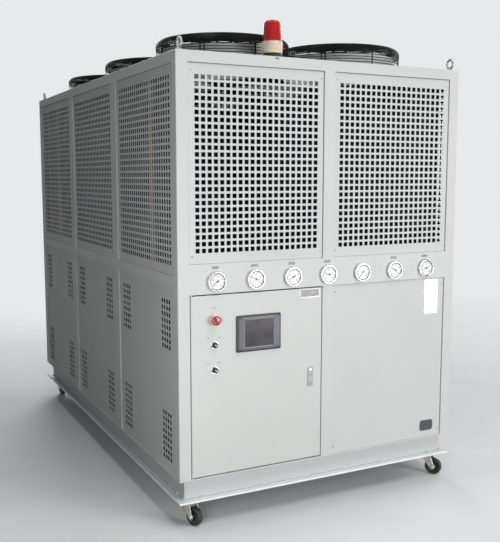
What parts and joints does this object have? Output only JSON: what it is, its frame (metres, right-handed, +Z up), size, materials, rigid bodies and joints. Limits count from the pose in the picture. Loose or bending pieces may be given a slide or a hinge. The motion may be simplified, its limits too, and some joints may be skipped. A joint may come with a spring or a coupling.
{
  "type": "air cooled water chiller",
  "caption": "Packaged air cooled water chiller: framed box with perforated upper panels, roof fans under basket guards, a gauge rail, a hinged control door and swivel casters.",
  "frame": {"origin": "On the floor under the middle of the unit.", "axes": "+X to the right as one faces the control door, +Y from the control end to the water end, +Z up."},
  "size_m": [1.51, 2.644, 2.2473],
  "materials": {
    "cabinet_paint": "light grey powder coat",
    "base_paint": "light grey paint",
    "galvanised": "galvanised sheet",
    "coil_fins": "aluminium fins",
    "beacon_red": "red lens on a cream base",
    "button_red": "red plastic",
    "pipe_steel": "bare steel",
    "guard_black": "black coated wire",
    "black_plastic": "black plastic",
    "screen_bezel": "dark grey plastic",
    "zinc": "yellow zinc plate",
    "caster_rubber": "black tyre"
  },
  "bodies": {
    "cabinet": {"base_frame": "base_paint", "floor_pan": "galvanised", "left_side_frame": "cabinet_paint", "right_side_frame": "cabinet_paint", "front_frame": "cabinet_paint", "back_frame": "cabinet_paint", "roof_pan": "cabinet_paint", "condenser_deck": "coil_fins", "control_box": "galvanised", "beacon": "beacon_red", "water_inlet": "pipe_steel", "water_outlet": "pipe_steel", "lifting_eye_front_left": "pipe_steel", "lifting_eye_front_right": "pipe_steel", "lifting_eye_back_left": "pipe_steel", "lifting_eye_back_right": "pipe_steel", "fan_guard_front_left": "guard_black", "fan_guard_front_right": "guard_black", "fan_guard_middle_left": "guard_black", "fan_guard_middle_right": "guard_black", "fan_guard_back_left": "guard_black", "fan_guard_back_right": "guard_black", "left_upper_panel_front": "cabinet_paint", "left_upper_panel_middle": "cabinet_paint", "left_upper_panel_back": "cabinet_paint", "left_lower_panel_front": "cabinet_paint", "left_lower_panel_middle": "cabinet_paint", "left_lower_panel_back": "cabinet_paint", "right_upper_panel_front": "cabinet_paint", "right_upper_panel_middle": "cabinet_paint", "right_upper_panel_back": "cabinet_paint", "right_lower_panel_front": "cabinet_paint", "right_lower_panel_middle": "cabinet_paint", "right_lower_panel_back": "cabinet_paint", "front_upper_panel_left": "cabinet_paint", "front_upper_panel_right": "cabinet_paint", "front_lower_panel_right": "cabinet_paint", "back_upper_panel_left": "cabinet_paint", "back_upper_panel_right": "cabinet_paint", "back_lower_panel_left": "cabinet_paint", "back_lower_panel_right": "cabinet_paint"},
    "control_door": {"control_door": "cabinet_paint", "touch_screen": "screen_bezel"},
    "emergency_stop": {"emergency_stop": "button_red"},
    "selector_switch_upper": {"selector_switch_upper": "black_plastic"},
    "selector_switch_lower": {"selector_switch_lower": "black_plastic"},
    "fan_rotor_front_left": {"fan_rotor_front_left": "black_plastic"},
    "fan_rotor_front_right": {"fan_rotor_front_right": "black_plastic"},
    "fan_rotor_middle_left": {"fan_rotor_middle_left": "black_plastic"},
    "fan_rotor_middle_right": {"fan_rotor_middle_right": "black_plastic"},
    "fan_rotor_back_left": {"fan_rotor_back_left": "black_plastic"},
    "fan_rotor_back_right": {"fan_rotor_back_right": "black_plastic"},
    "caster_fork_front_left": {"caster_fork_front_left": "zinc"},
    "caster_wheel_front_left": {"caster_wheel_front_left": "caster_rubber"},
    "caster_fork_front_right": {"caster_fork_front_right": "zinc"},
    "caster_wheel_front_right": {"caster_wheel_front_right": "caster_rubber"},
    "caster_fork_back_left": {"caster_fork_back_left": "zinc"},
    "caster_wheel_back_left": {"caster_wheel_back_left": "caster_rubber"},
    "caster_fork_back_right": {"caster_fork_back_right": "zinc"},
    "caster_wheel_back_right": {"caster_wheel_back_right": "caster_rubber"}
  },
  "joints": [
    {"name": "control_door_hinge", "type": "hinge", "parent": "cabinet", "child": "control_door", "pos_m": [-0.6915, -1.29, 0.64], "axis": [0, 0, -1], "range_deg": [0, 110]},
    {"name": "emergency_stop_press", "type": "slide", "parent": "control_door", "child": "emergency_stop", "axis": [0, 1, 0], "range_m": [0, 0.004]},
    {"name": "selector_switch_upper_turn", "type": "hinge", "parent": "control_door", "child": "selector_switch_upper", "pos_m": [-0.583, -1.29, 0.826], "axis": [0, 1, 0], "range_deg": [-45, 45]},
    {"name": "selector_switch_lower_turn", "type": "hinge", "parent": "control_door", "child": "selector_switch_lower", "pos_m": [-0.583, -1.29, 0.714], "axis": [0, 1, 0], "range_deg": [-45, 45]},
    {"name": "fan_rotor_front_left_spin", "type": "hinge", "parent": "cabinet", "child": "fan_rotor_front_left", "pos_m": [-0.328, -0.835, 2.112], "axis": [0, 0, 1], "continuous": true},
    {"name": "fan_rotor_front_right_spin", "type": "hinge", "parent": "cabinet", "child": "fan_rotor_front_right", "pos_m": [0.328, -0.835, 2.112], "axis": [0, 0, 1], "continuous": true},
    {"name": "fan_rotor_middle_left_spin", "type": "hinge", "parent": "cabinet", "child": "fan_rotor_middle_left", "pos_m": [-0.328, 0, 2.112], "axis": [0, 0, 1], "continuous": true},
    {"name": "fan_rotor_middle_right_spin", "type": "hinge", "parent": "cabinet", "child": "fan_rotor_middle_right", "pos_m": [0.328, 0, 2.112], "axis": [0, 0, 1], "continuous": true},
    {"name": "fan_rotor_back_left_spin", "type": "hinge", "parent": "cabinet", "child": "fan_rotor_back_left", "pos_m": [-0.328, 0.835, 2.112], "axis": [0, 0, 1], "continuous": true},
    {"name": "fan_rotor_back_right_spin", "type": "hinge", "parent": "cabinet", "child": "fan_rotor_back_right", "pos_m": [0.328, 0.835, 2.112], "axis": [0, 0, 1], "continuous": true},
    {"name": "caster_swivel_front_left", "type": "hinge", "parent": "cabinet", "child": "caster_fork_front_left", "pos_m": [-0.681, -1.216, 0.103], "axis": [0, 0, 1], "continuous": true},
    {"name": "caster_roll_front_left", "type": "hinge", "parent": "caster_fork_front_left", "child": "caster_wheel_front_left", "pos_m": [-0.66937, -1.24795, 0.043], "axis": [0.9397, 0.342, 0], "continuous": true},
    {"name": "caster_swivel_front_right", "type": "hinge", "parent": "cabinet", "child": "caster_fork_front_right", "pos_m": [0.681, -1.216, 0.103], "axis": [0, 0, 1], "continuous": true},
    {"name": "caster_roll_front_right", "type": "hinge", "parent": "caster_fork_front_right", "child": "caster_wheel_front_right", "pos_m": [0.7005, -1.24385, 0.043], "axis": [0.8192, 0.5736, 0], "continuous": true},
    {"name": "caster_swivel_back_left", "type": "hinge", "parent": "cabinet", "child": "caster_fork_back_left", "pos_m": [-0.681, 1.216, 0.103], "axis": [0, 0, 1], "continuous": true},
    {"name": "caster_roll_back_left", "type": "hinge", "parent": "caster_fork_back_left", "child": "caster_wheel_back_left", "pos_m": [-0.67627, 1.18233, 0.043], "axis": [0.9903, 0.1392, 0], "continuous": true},
    {"name": "caster_swivel_back_right", "type": "hinge", "parent": "cabinet", "child": "caster_fork_back_right", "pos_m": [0.681, 1.216, 0.103], "axis": [0, 0, 1], "continuous": true},
    {"name": "caster_roll_back_right", "type": "hinge", "parent": "caster_fork_back_right", "child": "caster_wheel_back_right", "pos_m": [0.698, 1.18656, 0.043], "axis": [0.866, 0.5, 0], "continuous": true}
  ]
}
